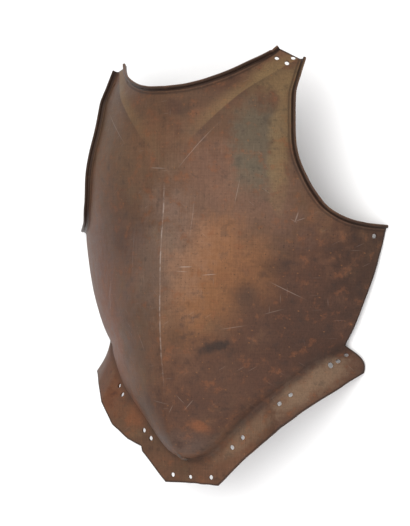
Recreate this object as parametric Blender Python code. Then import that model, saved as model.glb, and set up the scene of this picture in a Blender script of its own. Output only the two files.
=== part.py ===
"""Breastplate of a cuirass: one forged iron plate with a keeled peascod belly,
turned and rolled rims at the neck and the arms, and a pierced skirt below the waist.

It lies on its back edges as it rests on a table: X runs across, Y towards the neck,
Z from the table up to the front of the plate.  All lengths are metres.  The tables
count Y from the level of the arm corners; the finished plate is then moved along Y
and Z, so that the origin lies on the table under the middle of its outline.
"""
import math

import bmesh
import bpy
from mathutils import Matrix, Vector

# Driving sizes.
HALF_WIDTH = 0.1790       # centre line to the corner under each arm
WAIST_HALF = 0.1400       # centre line to the waist's end, where the flank meets the skirt
SHOULDER_HALF = 0.1070    # centre line to the outer corner of each shoulder
NECK_HALF = 0.0925        # centre line to the neck's upper end
NECK_RISE = 0.1232        # arm corners' level up to the lowest point of the neck
SHOULDER_RISE = 0.1638    # arm corners' level up to the shoulders
WAIST_DROP = 0.1170       # arm corners' level down to the waist's ends
BELLY_DROP = 0.2312       # arm corners' level down to the groove under the belly
SKIRT_LENGTH = 0.0380     # length of the skirt over the hips, groove to hem
DEPTH = 0.1250            # table to the highest point of the keel
PLATE = 0.0020            # thickness of the iron
LIP_BEND = 0.0032         # radius of the turn from the plate into a rim
LIP_RISE = 0.0008         # straight part of a rim above its bend
ROLL_RADIUS = 0.0016      # rolled bead along the top of a rim
KEEL_SOFT = 0.0035        # how far the keel's edge is rounded to each side
HOLE_RADIUS = 0.0023      # lacing and strap holes

# How finely the skin is divided.
FLANK_ROWS = 8
ARM_ROWS = 17
LIP_TURN = math.radians(76.0)
LIP_STEPS = 4
ROLL_STEPS = 6
GROOVE_STEPS = 3
UNDER_STEPS = 3
SKIRT_STEPS = 3
UNDER_END = 0.72          # share of the turn under the belly before the groove's round
GROOVE_END = 0.09         # share of the skirt where the groove's round ends
CORNER_SHARE = 0.52       # share of the keel's length level with the arm corners
TOP_PULL = 3              # power with which the rows take the neck's shape towards it
HOLE_SIDES = 12
HOLE_TURN = math.radians(7.0)    # keeps the holes' corners off the plate's own edges
HOLE_REACH = 8.0                 # length of a hole's cutter in thicknesses of the plate

# Across shares of the skin's columns, centre line to outer edge.  The skirt's front
# panel has its lower corner at the sixth and its upper corner at the ninth.
COLUMNS = (0.0, 0.02, 0.055, 0.11, 0.165, 0.22, 0.29, 0.36, 0.43, 0.436,
           0.51, 0.59, 0.67, 0.75, 0.83, 0.91, 0.96, 1.0)
NECK_END = 14             # the column where the neck ends and the shoulder begins

# The skin's section at levels from the belly up.  Shares: level within its zone,
# half width and heights of the keel and of the outer edge (shares of DEPTH),
# power of the bulge, and how much of the drop is straight-sided keel.
#   zone     level  half   keel   edge   power  straight
SECTIONS = (
    ("belly", 1.000, 0.130, 0.648, 0.490, 2.0, 0.30),
    ("belly", 0.950, 0.190, 0.700, 0.488, 2.0, 0.32),
    ("belly", 0.870, 0.262, 0.772, 0.486, 2.0, 0.34),
    ("belly", 0.750, 0.352, 0.836, 0.482, 2.0, 0.34),
    ("belly", 0.610, 0.460, 0.877, 0.475, 2.0, 0.34),
    ("belly", 0.430, 0.617, 0.902, 0.430, 2.0, 0.32),
    ("belly", 0.290, 0.735, 0.922, 0.345, 2.0, 0.30),
    ("belly", 0.140, 0.853, 0.952, 0.235, 2.0, 0.30),
    ("flank", 1.000, 0.000, 0.970, 0.060, 2.0, 0.30),
    ("flank", 0.700, 0.450, 0.993, 0.060, 2.1, 0.30),
    ("flank", 0.300, 0.840, 1.000, 0.035, 2.2, 0.28),
    ("chest", 0.000, 1.000, 0.984, 0.015, 2.3, 0.25),
    ("chest", 0.120, 1.000, 0.976, 0.010, 2.6, 0.20),
    ("chest", 0.310, 1.000, 0.977, 0.080, 2.5, 0.15),
    ("chest", 0.450, 1.000, 0.977, 0.130, 2.25, 0.10),
    ("chest", 0.590, 1.000, 0.976, 0.145, 1.90, 0.05),
    ("chest", 0.740, 1.000, 0.975, 0.120, 1.65, 0.00),
    ("chest", 0.860, 1.000, 0.930, 0.030, 1.50, 0.00),
    ("chest", 1.000, 1.000, 0.856, -0.080, 1.38, 0.00),
)

# The groove under the belly: across share of WAIST_HALF, level in the belly zone,
# height as a share of DEPTH, and how far the belly's brow stands above it (share
# of SKIRT_LENGTH).
#   across  level  height  brow
GROOVE = (
    (0.000, 1.000, 0.472, 0.22),
    (0.125, 0.974, 0.472, 0.20),
    (0.230, 0.886, 0.472, 0.18),
    (0.365, 0.728, 0.472, 0.16),
    (0.500, 0.560, 0.460, 0.15),
    (0.630, 0.417, 0.413, 0.14),
    (0.725, 0.299, 0.342, 0.13),
    (0.846, 0.148, 0.232, 0.11),
    (0.932, 0.067, 0.138, 0.09),
    (1.000, 0.000, 0.050, 0.08),
)

# The skirt's hem: column share, across share of WAIST_HALF, distance below the
# groove as a share of SKIRT_LENGTH, height as a share of DEPTH.
#   share  across  below  height
HEM = (
    (0.000, 0.000, 0.663, 0.472),
    (0.220, 0.220, 0.997, 0.472),
    (0.430, 0.434, 1.008, 0.462),
    (0.510, 0.550, 1.085, 0.480),
    (0.620, 0.695, 1.165, 0.485),
    (0.750, 0.842, 1.250, 0.410),
    (0.870, 0.962, 1.190, 0.270),
    (0.960, 1.062, 0.950, 0.130),
    (1.000, 1.140, 0.684, 0.020),
)
# How far the left hem stands above the right one's line, as a share of
# SKIRT_LENGTH: a step beside the front panel, then a deeper sweep over the hip.
#   share  above
LEFT_HEM = (
    (0.000, 0.000),
    (0.430, 0.000),
    (0.436, 0.110),
    (0.510, -0.030),
    (0.620, -0.070),
    (0.750, 0.030),
    (0.870, 0.100),
    (0.960, 0.000),
    (1.000, -0.200),
)
# From this column share on, the skirt's ends bow outwards on the right and inwards
# on the left.
BOW_START = 0.90
RIGHT_BOW = 0.0085
LEFT_BOW = -0.0030

# The edge under each arm and up to the shoulder: across share between
# SHOULDER_HALF and HALF_WIDTH, level as a share of SHOULDER_RISE.
#   across  level
ARM = (
    (1.000, -0.032),
    (0.800, -0.024),
    (0.600, 0.006),
    (0.420, 0.075),
    (0.290, 0.176),
    (0.200, 0.283),
    (0.132, 0.380),
    (0.084, 0.480),
    (0.050, 0.580),
    (0.026, 0.680),
    (0.010, 0.780),
    (0.002, 0.880),
    (0.000, 0.980),
)

# The neck: across share of NECK_HALF, rise between NECK_RISE and SHOULDER_RISE.
#   across  rise
NECK = (
    (0.000, 0.000),
    (0.180, 0.022),
    (0.360, 0.095),
    (0.530, 0.235),
    (0.700, 0.440),
    (0.850, 0.705),
    (0.930, 0.885),
    (1.000, 1.055),
)
# The neck's rim gets lower towards its upper ends: where that starts, as a share of
# NECK_HALF, and how much of its height is left at the end.
NECK_FADE = 0.72
NECK_TIP = 0.40

# Holes through the shoulders and the corner under one arm: side (right 1, left -1),
# across share of SHOULDER_HALF or, at the arm, of HALF_WIDTH, and level as a share
# of SHOULDER_RISE.
SKIN_HOLES = (
    (1, "shoulder", 0.834, 0.980),
    (1, "shoulder", 0.953, 0.985),
    (1, "shoulder", 0.922, 0.950),
    (1, "arm", 0.960, -0.064),
    (-1, "shoulder", 0.979, 0.885),
)
# Holes through the skirt: side, column share, share of the way from groove to hem.
SKIRT_HOLES = (
    (1, 0.976, 0.205),
    (1, 0.943, 0.265),
    (1, 0.914, 0.280),
    (1, 0.710, 0.365),
    (1, 0.648, 0.370),
    (1, 0.408, 0.405),
    (1, 0.326, 0.370),
    (1, 0.160, 0.770),
    (-1, 0.012, 0.775),
    (-1, 0.160, 0.770),
    (-1, 0.358, 0.375),
    (-1, 0.420, 0.405),
    (-1, 0.629, 0.210),
    (-1, 0.682, 0.180),
)

# The neck was forged a little askew: its ends sit this far to the left, and the right
# one stands this much higher, the left one as much lower.
NECK_SWAY = 0.0022
NECK_TILT = 0.0036

# Two faint folds part from the keel and run up to the shoulders: level where they
# part (share of SHOULDER_RISE), the rise over which they deepen, how fast they part,
# and their slope.
FOLD_LEVEL = 0.30
FOLD_RUN = 0.0750
FOLD_SPREAD = 0.95
FOLD_SLOPE = 0.09


def monotone(table, column):
    """Smooth curve through one column of a table, without overshoot."""
    xs = [row[0] for row in table]
    ys = [row[column] for row in table]
    gaps = [b - a for a, b in zip(xs, xs[1:])]
    slopes = [(b - a) / g for a, b, g in zip(ys, ys[1:], gaps)]
    ends = [slopes[0]]
    for left, right in zip(slopes, slopes[1:]):
        if left * right <= 0.0:
            ends.append(0.0)
        else:
            ends.append(2.0 * left * right / (left + right))
    ends.append(slopes[-1])

    def value(x):
        k = 0
        while k < len(gaps) - 1 and x > xs[k + 1]:
            k += 1
        g = gaps[k]
        s = min(max((x - xs[k]) / g, 0.0), 1.0)
        a = ys[k] * (1 + 2 * s) * (1 - s) ** 2 + ends[k] * g * s * (1 - s) ** 2
        b = ys[k + 1] * s * s * (3 - 2 * s) + ends[k + 1] * g * s * s * (s - 1)
        return a + b
    return value


def level(zone, share):
    """Y of a share of one zone."""
    if zone == "belly":
        return -WAIST_DROP - share * (BELLY_DROP - WAIST_DROP)
    if zone == "flank":
        return -WAIST_DROP * share
    return SHOULDER_RISE * share


def section_rows():
    """The section table in metres, from the belly's tip upwards."""
    rows = []
    for zone, share, half, keel, edge, power, straight in SECTIONS:
        if zone == "belly":
            width = half * WAIST_HALF
        else:
            width = WAIST_HALF + half * (HALF_WIDTH - WAIST_HALF)
        rows.append((level(zone, share), width, keel * DEPTH, edge * DEPTH, power, straight))
    return rows


ROWS = section_rows()
WIDTH_AT, KEEL_AT, EDGE_AT, POWER_AT, STRAIGHT_AT = (monotone(ROWS, k) for k in range(1, 6))


def softened(distance):
    """Distance from a fold line, rounded over KEEL_SOFT and zero well inside it."""
    if distance > KEEL_SOFT:
        return distance
    if distance < -KEEL_SOFT:
        return 0.0
    return (distance + KEEL_SOFT) ** 2 / (4.0 * KEEL_SOFT)


def skin_height(x, y):
    """Height of the plate's front over a point of the table."""
    across = abs(x) / WIDTH_AT(y)
    keel = KEEL_AT(y)
    drop = keel - EDGE_AT(y)
    straight = STRAIGHT_AT(y)
    ridge = softened(abs(x)) / WIDTH_AT(y)
    height = keel - drop * ((1.0 - straight) * across ** POWER_AT(y) + straight * ridge)
    part = max(y - FOLD_LEVEL * SHOULDER_RISE, 0.0)
    if part > 0.0:
        swell = min(1.0, part / FOLD_RUN)
        swell = swell * swell * (3.0 - 2.0 * swell)
        height -= FOLD_SLOPE * softened(abs(x) - FOLD_SPREAD * part) * swell
    return height


def skin_point(x, y):
    return Vector((x, y, skin_height(x, y)))


def skin_normal(x, y):
    step = KEEL_SOFT / 7.0
    dx = (skin_height(x + step, y) - skin_height(x - step, y)) / (2.0 * step)
    dy = (skin_height(x, y + step) - skin_height(x, y - step)) / (2.0 * step)
    return Vector((-dx, -dy, 1.0)).normalized()


GROOVE_LEVEL, GROOVE_HEIGHT, GROOVE_BROW = (monotone(GROOVE, k) for k in range(1, 4))
NECK_AT = monotone(NECK, 1)


def groove_point(share):
    return Vector((share * WAIST_HALF, level("belly", GROOVE_LEVEL(share)),
                   GROOVE_HEIGHT(share) * DEPTH))


def lerp_table(table, x, column):
    """Straight interpolation, for outlines with real corners."""
    for low, high in zip(table, table[1:]):
        if x <= high[0]:
            s = (x - low[0]) / (high[0] - low[0])
            return low[column] + s * (high[column] - low[column])
    return table[-1][column]


def arm_curve(count):
    """Points along the arm's edge, evenly spaced, from the arm corner up."""
    reach = HALF_WIDTH - SHOULDER_HALF
    knots = [Vector((SHOULDER_HALF + a * reach, b * SHOULDER_RISE)) for a, b in ARM]
    curve = []
    ends = [knots[1] - knots[0]]
    ends += [(c - a) / 2.0 for a, c in zip(knots, knots[2:])]
    ends.append(knots[-1] - knots[-2])
    for k in range(len(knots) - 1):
        for m in range(8):
            s = m / 8.0
            h = (1 + 2 * s) * (1 - s) ** 2, s * (1 - s) ** 2, s * s * (3 - 2 * s), s * s * (s - 1)
            curve.append(knots[k] * h[0] + ends[k] * h[1] + knots[k + 1] * h[2] + ends[k + 1] * h[3])
    curve.append(knots[-1])
    lengths = [0.0]
    for a, b in zip(curve, curve[1:]):
        lengths.append(lengths[-1] + (b - a).length)
    out = []
    k = 0
    for n in range(count + 1):
        want = lengths[-1] * n / count
        while k < len(curve) - 2 and lengths[k + 1] < want:
            k += 1
        s = (want - lengths[k]) / (lengths[k + 1] - lengths[k])
        out.append(curve[k].lerp(curve[k + 1], s))
    return out


def outer_edge():
    """The plate's outer edge, from the waist's end up to the shoulder's outer corner."""
    arm = arm_curve(ARM_ROWS)
    low = level("belly", GROOVE_LEVEL(1.0)) + GROOVE_BROW(1.0) * SKIRT_LENGTH
    edge = []
    for n in range(FLANK_ROWS):
        y = low + (arm[0].y - low) * n / FLANK_ROWS
        edge.append(Vector((WIDTH_AT(y), y)))
    return edge + arm


def brow_level(share):
    """Y of the brow, where the belly starts to turn under, at one column."""
    return level("belly", GROOVE_LEVEL(share)) + GROOVE_BROW(share) * SKIRT_LENGTH


def top_point(k, shoulder, side):
    """Plan point of one column of a side on the neck's edge or the shoulder's end."""
    along = min(COLUMNS[k] / COLUMNS[NECK_END], 1.0)
    rise = NECK_AT(along) * (SHOULDER_RISE - NECK_RISE)
    neck = Vector((along * NECK_HALF - side * along * along * NECK_SWAY,
                   NECK_RISE + rise + side * along * along * NECK_TILT))
    if k <= NECK_END:
        return neck
    along = (COLUMNS[k] - COLUMNS[NECK_END]) / (1.0 - COLUMNS[NECK_END])
    return neck.lerp(shoulder, along)


def skin_grid(side):
    """Skin points of one half, side 1 the right and -1 the left, counted outwards in X."""
    edge = outer_edge()
    brow = [brow_level(share) for share in COLUMNS]
    top = [top_point(k, edge[-1], side) for k in range(len(COLUMNS))]
    rows = []
    for n, outer in enumerate(edge):
        if n <= FLANK_ROWS:
            v = CORNER_SHARE * n / FLANK_ROWS
        else:
            v = CORNER_SHARE + (1.0 - CORNER_SHARE) * (n - FLANK_ROWS) / ARM_ROWS
        ridge = brow[0] + (NECK_RISE - brow[0]) * v
        pull = v ** TOP_PULL
        row = []
        for k, share in enumerate(COLUMNS):
            low = brow[0] + share * (brow[-1] - brow[0])
            high = NECK_RISE + share * (edge[-1].y - NECK_RISE)
            x = share * outer.x + pull * (top[k].x - share * edge[-1].x)
            y = (ridge + share * (outer.y - ridge)
                 + (1.0 - v) * (brow[k] - low) + pull * (top[k].y - high))
            row.append(skin_point(x, y))
        rows.append(row)
    return rows


def neck_lip(point):
    """How much of the rim's full height stands at one point of the neck."""
    s = max(abs(point.x) / NECK_HALF - NECK_FADE, 0.0) / (1.0 - NECK_FADE)
    return 1.0 - (1.0 - NECK_TIP) * s * s * (3.0 - 2.0 * s)


def arm_lip(point):
    """The rims at the arms stand at their full height all along."""
    return 1.0


def rim_points(base, normal, out, size):
    """The bend and the straight part of a turned rim above one point of an edge."""
    points = []
    for k in range(1, LIP_STEPS + 1):
        angle = LIP_TURN * k / LIP_STEPS
        points.append(base + out * (size * LIP_BEND * math.sin(angle))
                      + normal * (size * LIP_BEND * (1.0 - math.cos(angle))))
    rise = out * math.cos(LIP_TURN) + normal * math.sin(LIP_TURN)
    points.append(points[-1] + rise * (size * LIP_RISE))
    return points


def hem_rows():
    """The hem table in metres: column share and the three coordinates."""
    rows = []
    for share, across, below, height in HEM:
        groove = level("belly", GROOVE_LEVEL(min(across, 1.0)))
        rows.append((share, across * WAIST_HALF, groove - below * SKIRT_LENGTH, height * DEPTH))
    return rows


HEM_ROWS = hem_rows()


def hem_point(share, left):
    """Front of the hem at one column."""
    point = Vector([lerp_table(HEM_ROWS, share, k) for k in (1, 2, 3)])
    if left:
        point.y += lerp_table(LEFT_HEM, share, 1) * SKIRT_LENGTH
    return point


def skirt_point(share, down, left):
    """Front of the skirt at one column, from the groove (0) to the hem (1)."""
    point = groove_point(share).lerp(hem_point(share, left), down)
    bow = max(share - BOW_START, 0.0) / (1.0 - BOW_START)
    point.x += (LEFT_BOW if left else RIGHT_BOW) * bow * math.sin(math.pi * down)
    return point


def skirt_points(brow, share, left):
    """Front points below the brow at one column: under the belly, groove, skirt."""
    groove = groove_point(share)
    normal = skin_normal(brow.x, brow.y)
    down = Vector((0.0, -1.0, 0.0))
    along = (down - normal * down.dot(normal)).normalized()
    turn = brow + along * ((groove - brow).length * 0.55)
    points = []
    for k in range(1, UNDER_STEPS + 1):
        s = UNDER_END * k / UNDER_STEPS
        points.append(brow * (1 - s) ** 2 + turn * (2 * s * (1 - s)) + groove * s ** 2)
    start = points[-1]
    stop = skirt_point(share, GROOVE_END, left)
    for k in range(1, GROOVE_STEPS + 1):
        s = k / GROOVE_STEPS
        points.append(start * (1 - s) ** 2 + groove * (2 * s * (1 - s)) + stop * s ** 2)
    for k in range(1, SKIRT_STEPS + 1):
        points.append(skirt_point(share, GROOVE_END + (1.0 - GROOVE_END) * k / SKIRT_STEPS, left))
    return points


class Shell:
    """A thin plate: its front skin, the back skin set behind it, and its edges."""

    def __init__(self):
        self.points = []
        self.faces = []
        self.rolled = {}

    def add(self, point):
        self.points.append(point.copy())
        return len(self.points) - 1

    def strip(self, first, second):
        """Faces between two rows of point numbers, seen from the front."""
        for a, b, c, d in zip(first, first[1:], second[1:], second):
            self.faces.append((a, b, c, d))

    def normals(self):
        total = [Vector((0.0, 0.0, 0.0)) for point in self.points]
        for face in self.faces:
            a, b, c, d = (self.points[k] for k in face)
            size = (c - a).cross(d - b)
            for k in face:
                total[k] += size
        return [n.normalized() for n in total]

    def edges_in_order(self):
        """The open edges of the front skin, each as its face runs along it."""
        seen = {}
        for face in self.faces:
            for a, b in zip(face, face[1:] + face[:1]):
                seen[(a, b)] = True
        return [pair for pair in seen if (pair[1], pair[0]) not in seen]

    def build(self, name):
        normals = self.normals()
        points = [p.copy() for p in self.points]
        count = len(points)
        points += [p - n * PLATE for p, n in zip(self.points, normals)]
        faces = list(self.faces)
        faces += [tuple(k + count for k in reversed(face)) for face in self.faces]
        beads = {}
        for k, rise in self.rolled.items():
            middle = self.points[k] - normals[k] * (PLATE / 2.0)
            inner = math.asin(PLATE / 2.0 / ROLL_RADIUS)
            centre = middle + rise * (ROLL_RADIUS * math.cos(inner))
            ring = []
            for step in range(1, ROLL_STEPS + 1):
                angle = inner + (2.0 * math.pi - 2.0 * inner) * step / (ROLL_STEPS + 1)
                points.append(centre - rise * (ROLL_RADIUS * math.cos(angle))
                              + normals[k] * (ROLL_RADIUS * math.sin(angle)))
                ring.append(len(points) - 1)
            beads[k] = ring
        capped = set()
        for a, b in self.edges_in_order():
            if a in beads and b in beads:
                left = [a] + beads[a] + [a + count]
                right = [b] + beads[b] + [b + count]
                for k in range(len(left) - 1):
                    faces.append((right[k], left[k], left[k + 1], right[k + 1]))
            else:
                faces.append((b, a, a + count, b + count))
                for k in (a, b):
                    if k in beads and k not in capped:
                        capped.add(k)
                        cap = [k] + beads[k] + [k + count]
                        faces.append(tuple(cap) if k == a else tuple(reversed(cap)))
        mesh = bpy.data.meshes.new(name)
        mesh.from_pydata([tuple(p) for p in points], [], faces)
        return mesh


def mirrored(point):
    return Vector((-point.x, point.y, point.z))


def rim_along(shell, base, near, lip, flip):
    """Turn a rim up from a run of edge points; near holds the next points inwards."""
    rows = [[] for k in range(LIP_STEPS + 1)]
    for k, point_number in enumerate(base):
        here = shell.points[point_number]
        before = shell.points[base[max(k - 1, 0)]]
        after = shell.points[base[min(k + 1, len(base) - 1)]]
        normal = skin_normal(here.x, here.y)
        run = (after - before).normalized()
        out = run.cross(normal).normalized()
        if out.dot(shell.points[near[k]] - here) > 0.0:
            out = -out
        for row, point in zip(rows, rim_points(here, normal, out, lip(here))):
            row.append(shell.add(point))
        shell.rolled[rows[-1][-1]] = out * math.cos(LIP_TURN) + normal * math.sin(LIP_TURN)
    low = list(base)
    for row in rows:
        if flip:
            shell.strip(row, low)
        else:
            shell.strip(low, row)
        low = row


def make_shell():
    halves = {side: skin_grid(side) for side in (-1, 1)}
    shell = Shell()
    grid = []
    for left_row, right_row in zip(halves[-1], halves[1]):
        left = [shell.add(mirrored(p)) for p in reversed(left_row[1:])]
        grid.append(left + [shell.add(p) for p in right_row])
    for low, high in zip(grid, grid[1:]):
        shell.strip(low, high)
    last = len(COLUMNS) - 1
    columns = []
    for k in range(-last, last + 1):
        brow = halves[-1 if k < 0 else 1][0][abs(k)]
        points = skirt_points(brow, COLUMNS[abs(k)], k < 0)
        columns.append([shell.add(mirrored(p) if k < 0 else p) for p in points])
    high = grid[0]
    for n in range(len(columns[0])):
        low = [column[n] for column in columns]
        shell.strip(low, high)
        high = low
    neck = grid[-1][last - NECK_END:last + NECK_END + 1]
    rim_along(shell, neck, grid[-2][last - NECK_END:last + NECK_END + 1], neck_lip, False)
    right = [row[-1] for row in grid[FLANK_ROWS:]]
    rim_along(shell, right, [row[-2] for row in grid[FLANK_ROWS:]], arm_lip, True)
    left = [row[0] for row in grid[FLANK_ROWS:]]
    rim_along(shell, left, [row[1] for row in grid[FLANK_ROWS:]], arm_lip, False)
    return shell


def iron():
    material = bpy.data.materials.new("patinated iron")
    material.use_nodes = True
    shader = material.node_tree.nodes["Principled BSDF"]
    shader.inputs["Base Color"].default_value = (0.150, 0.092, 0.062, 1.0)
    shader.inputs["Roughness"].default_value = 0.48
    shader.inputs["Metallic"].default_value = 0.60
    material.diffuse_color = (0.150, 0.092, 0.062, 1.0)
    return material


def skin_hole(side, place, across, rise):
    """Centre and direction of a hole through the plate's skin."""
    x = side * across * (HALF_WIDTH if place == "arm" else SHOULDER_HALF)
    y = rise * SHOULDER_RISE
    return skin_point(x, y), skin_normal(x, y)


def skirt_hole(side, share, down):
    """Centre and direction of a hole through the skirt."""
    step = 0.01
    here = skirt_point(share, down, side < 0)
    run = skirt_point(share + step, down, side < 0) - here
    fall = skirt_point(share, down + step, side < 0) - here
    normal = fall.cross(run).normalized()
    if side < 0:
        return mirrored(here), mirrored(normal)
    return here, normal


def cutter(name, centre, direction):
    """A round bar through the plate, the size of one hole."""
    mesh = bpy.data.meshes.new(name)
    bm = bmesh.new()
    bmesh.ops.create_cone(bm, cap_ends=True, segments=HOLE_SIDES, radius1=HOLE_RADIUS,
                          radius2=HOLE_RADIUS, depth=HOLE_REACH * PLATE)
    bm.transform(Matrix.Rotation(HOLE_TURN, 4, "Z"))
    bm.transform(direction.to_track_quat("Z", "Y").to_matrix().to_4x4())
    bmesh.ops.translate(bm, verts=bm.verts, vec=centre - direction * (PLATE / 2.0))
    bm.to_mesh(mesh)
    bm.free()
    bar = bpy.data.objects.new(name, mesh)
    bpy.context.scene.collection.objects.link(bar)
    bar.hide_render = True
    bar.display_type = "WIRE"
    return bar


def make_breastplate():
    mesh = make_shell().build("breastplate")
    bm = bmesh.new()
    bm.from_mesh(mesh)
    bmesh.ops.triangulate(bm, faces=bm.faces)
    bmesh.ops.recalc_face_normals(bm, faces=bm.faces)
    along = [v.co.y for v in bm.verts]
    shift = Vector((0.0, -(min(along) + max(along)) / 2.0, -min(v.co.z for v in bm.verts)))
    bmesh.ops.translate(bm, verts=bm.verts, vec=shift)
    bm.to_mesh(mesh)
    bm.free()
    mesh.materials.append(iron())
    for face in mesh.polygons:
        face.use_smooth = True
    plate = bpy.data.objects.new("breastplate", mesh)
    bpy.context.scene.collection.objects.link(plate)
    holes = [skin_hole(*row) for row in SKIN_HOLES] + [skirt_hole(*row) for row in SKIRT_HOLES]
    for number, (centre, direction) in enumerate(holes):
        bar = cutter("hole_%02d" % number, centre + shift, direction)
        cut = plate.modifiers.new(bar.name, "BOOLEAN")
        cut.operation = "DIFFERENCE"
        cut.solver = "EXACT"
        cut.object = bar
    return plate


for old in list(bpy.data.objects):
    bpy.data.objects.remove(old, do_unlink=True)
make_breastplate()
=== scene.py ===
"""Breastplate of a cuirass: the worked surface of the forged plate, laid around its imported
solid, with its brown patina, on a pale floor in soft light.  All lengths are metres."""

import math

import bmesh
import bpy
from mathutils import Matrix, Vector, kdtree, noise


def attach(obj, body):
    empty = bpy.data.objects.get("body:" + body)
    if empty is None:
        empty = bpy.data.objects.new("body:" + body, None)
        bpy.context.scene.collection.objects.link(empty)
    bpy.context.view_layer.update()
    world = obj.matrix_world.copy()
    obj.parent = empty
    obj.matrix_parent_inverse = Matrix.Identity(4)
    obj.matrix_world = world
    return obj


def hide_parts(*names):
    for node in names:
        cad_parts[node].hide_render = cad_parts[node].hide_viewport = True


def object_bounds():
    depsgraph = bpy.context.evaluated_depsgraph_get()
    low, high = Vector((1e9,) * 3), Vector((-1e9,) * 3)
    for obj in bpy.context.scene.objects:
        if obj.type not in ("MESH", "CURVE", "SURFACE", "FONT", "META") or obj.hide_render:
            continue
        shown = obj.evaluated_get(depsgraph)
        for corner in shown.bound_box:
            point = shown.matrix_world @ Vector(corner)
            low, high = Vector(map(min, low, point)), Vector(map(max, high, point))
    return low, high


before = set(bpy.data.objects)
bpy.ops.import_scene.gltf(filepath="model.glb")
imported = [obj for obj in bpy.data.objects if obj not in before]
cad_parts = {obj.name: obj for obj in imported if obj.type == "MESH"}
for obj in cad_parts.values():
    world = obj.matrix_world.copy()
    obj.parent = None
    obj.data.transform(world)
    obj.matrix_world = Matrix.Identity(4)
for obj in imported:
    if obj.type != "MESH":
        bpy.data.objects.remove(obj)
CAD_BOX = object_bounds()

# The plate's sizes, the same as in its source.
HALF_WIDTH = 0.1790
WAIST_HALF = 0.1400
SHOULDER_HALF = 0.1070
NECK_HALF = 0.0925
NECK_RISE = 0.1232
SHOULDER_RISE = 0.1638
WAIST_DROP = 0.1170
BELLY_DROP = 0.2312
SKIRT_LENGTH = 0.0380
DEPTH = 0.1250
PLATE = 0.0020
LIP_BEND = 0.0032
LIP_RISE = 0.0008
LIP_TURN = math.radians(76.0)
ROLL_RADIUS = 0.0016
KEEL_SOFT = 0.0035
HOLE_RADIUS = 0.0023
UNDER_END = 0.72
UNDER_TURN = 0.55
GROOVE_END = 0.09
CORNER_SHARE = 0.52
TOP_PULL = 3
NECK_FADE = 0.72
NECK_TIP = 0.40
NECK_SWAY = 0.0022
NECK_TILT = 0.0036
FOLD_LEVEL = 0.30
FOLD_RUN = 0.0750
FOLD_SPREAD = 0.95
FOLD_SLOPE = 0.09
BOW_START = 0.90
RIGHT_BOW = 0.0085
LEFT_BOW = -0.0030

# Across shares where the plate's outline has its corners, and how many fine columns
# lie between each and the next.
#   share  columns
COLUMNS = (
    (0.000, 4),
    (0.020, 4),
    (0.055, 3),
    (0.110, 4),
    (0.165, 4),
    (0.220, 5),
    (0.290, 5),
    (0.360, 5),
    (0.430, 1),
    (0.436, 5),
    (0.510, 6),
    (0.590, 6),
    (0.670, 6),
    (0.750, 6),
    (0.830, 6),
    (0.910, 4),
    (0.960, 4),
    (1.000, 0),
)
NECK_SHARE = 0.830
FLANK_ROWS = 44
ARM_ROWS = 76
LIP_STEPS = 8
CURVE_STEPS = 16
ROUND_STEPS = 14
EDGE_SWELL = 0.45         # of half the plate's thickness, out of a plain edge
WELD = 0.00001
LINE_STEP = 0.0005
SHARP_ANGLE = math.radians(50.0)
UNDER_STEPS = 7
GROOVE_STEPS = 6
SKIRT_STEPS = 14

#   zone     level  half   keel   edge   power  straight
SECTIONS = (
    ("belly", 1.000, 0.130, 0.648, 0.490, 2.0, 0.30),
    ("belly", 0.950, 0.190, 0.700, 0.488, 2.0, 0.32),
    ("belly", 0.870, 0.262, 0.772, 0.486, 2.0, 0.34),
    ("belly", 0.750, 0.352, 0.836, 0.482, 2.0, 0.34),
    ("belly", 0.610, 0.460, 0.877, 0.475, 2.0, 0.34),
    ("belly", 0.430, 0.617, 0.902, 0.430, 2.0, 0.32),
    ("belly", 0.290, 0.735, 0.922, 0.345, 2.0, 0.30),
    ("belly", 0.140, 0.853, 0.952, 0.235, 2.0, 0.30),
    ("flank", 1.000, 0.000, 0.970, 0.060, 2.0, 0.30),
    ("flank", 0.700, 0.450, 0.993, 0.060, 2.1, 0.30),
    ("flank", 0.300, 0.840, 1.000, 0.035, 2.2, 0.28),
    ("chest", 0.000, 1.000, 0.984, 0.015, 2.3, 0.25),
    ("chest", 0.120, 1.000, 0.976, 0.010, 2.6, 0.20),
    ("chest", 0.310, 1.000, 0.977, 0.080, 2.5, 0.15),
    ("chest", 0.450, 1.000, 0.977, 0.130, 2.25, 0.10),
    ("chest", 0.590, 1.000, 0.976, 0.145, 1.90, 0.05),
    ("chest", 0.740, 1.000, 0.975, 0.120, 1.65, 0.00),
    ("chest", 0.860, 1.000, 0.930, 0.030, 1.50, 0.00),
    ("chest", 1.000, 1.000, 0.856, -0.080, 1.38, 0.00),
)

#   across  level  height  brow
GROOVE = (
    (0.000, 1.000, 0.472, 0.22),
    (0.125, 0.974, 0.472, 0.20),
    (0.230, 0.886, 0.472, 0.18),
    (0.365, 0.728, 0.472, 0.16),
    (0.500, 0.560, 0.460, 0.15),
    (0.630, 0.417, 0.413, 0.14),
    (0.725, 0.299, 0.342, 0.13),
    (0.846, 0.148, 0.232, 0.11),
    (0.932, 0.067, 0.138, 0.09),
    (1.000, 0.000, 0.050, 0.08),
)

#   share  across  below  height
HEM = (
    (0.000, 0.000, 0.663, 0.472),
    (0.220, 0.220, 0.997, 0.472),
    (0.430, 0.434, 1.008, 0.462),
    (0.510, 0.550, 1.085, 0.480),
    (0.620, 0.695, 1.165, 0.485),
    (0.750, 0.842, 1.250, 0.410),
    (0.870, 0.962, 1.190, 0.270),
    (0.960, 1.062, 0.950, 0.130),
    (1.000, 1.140, 0.684, 0.020),
)

#   share  above
LEFT_HEM = (
    (0.000, 0.000),
    (0.430, 0.000),
    (0.436, 0.110),
    (0.510, -0.030),
    (0.620, -0.070),
    (0.750, 0.030),
    (0.870, 0.100),
    (0.960, 0.000),
    (1.000, -0.200),
)

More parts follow.
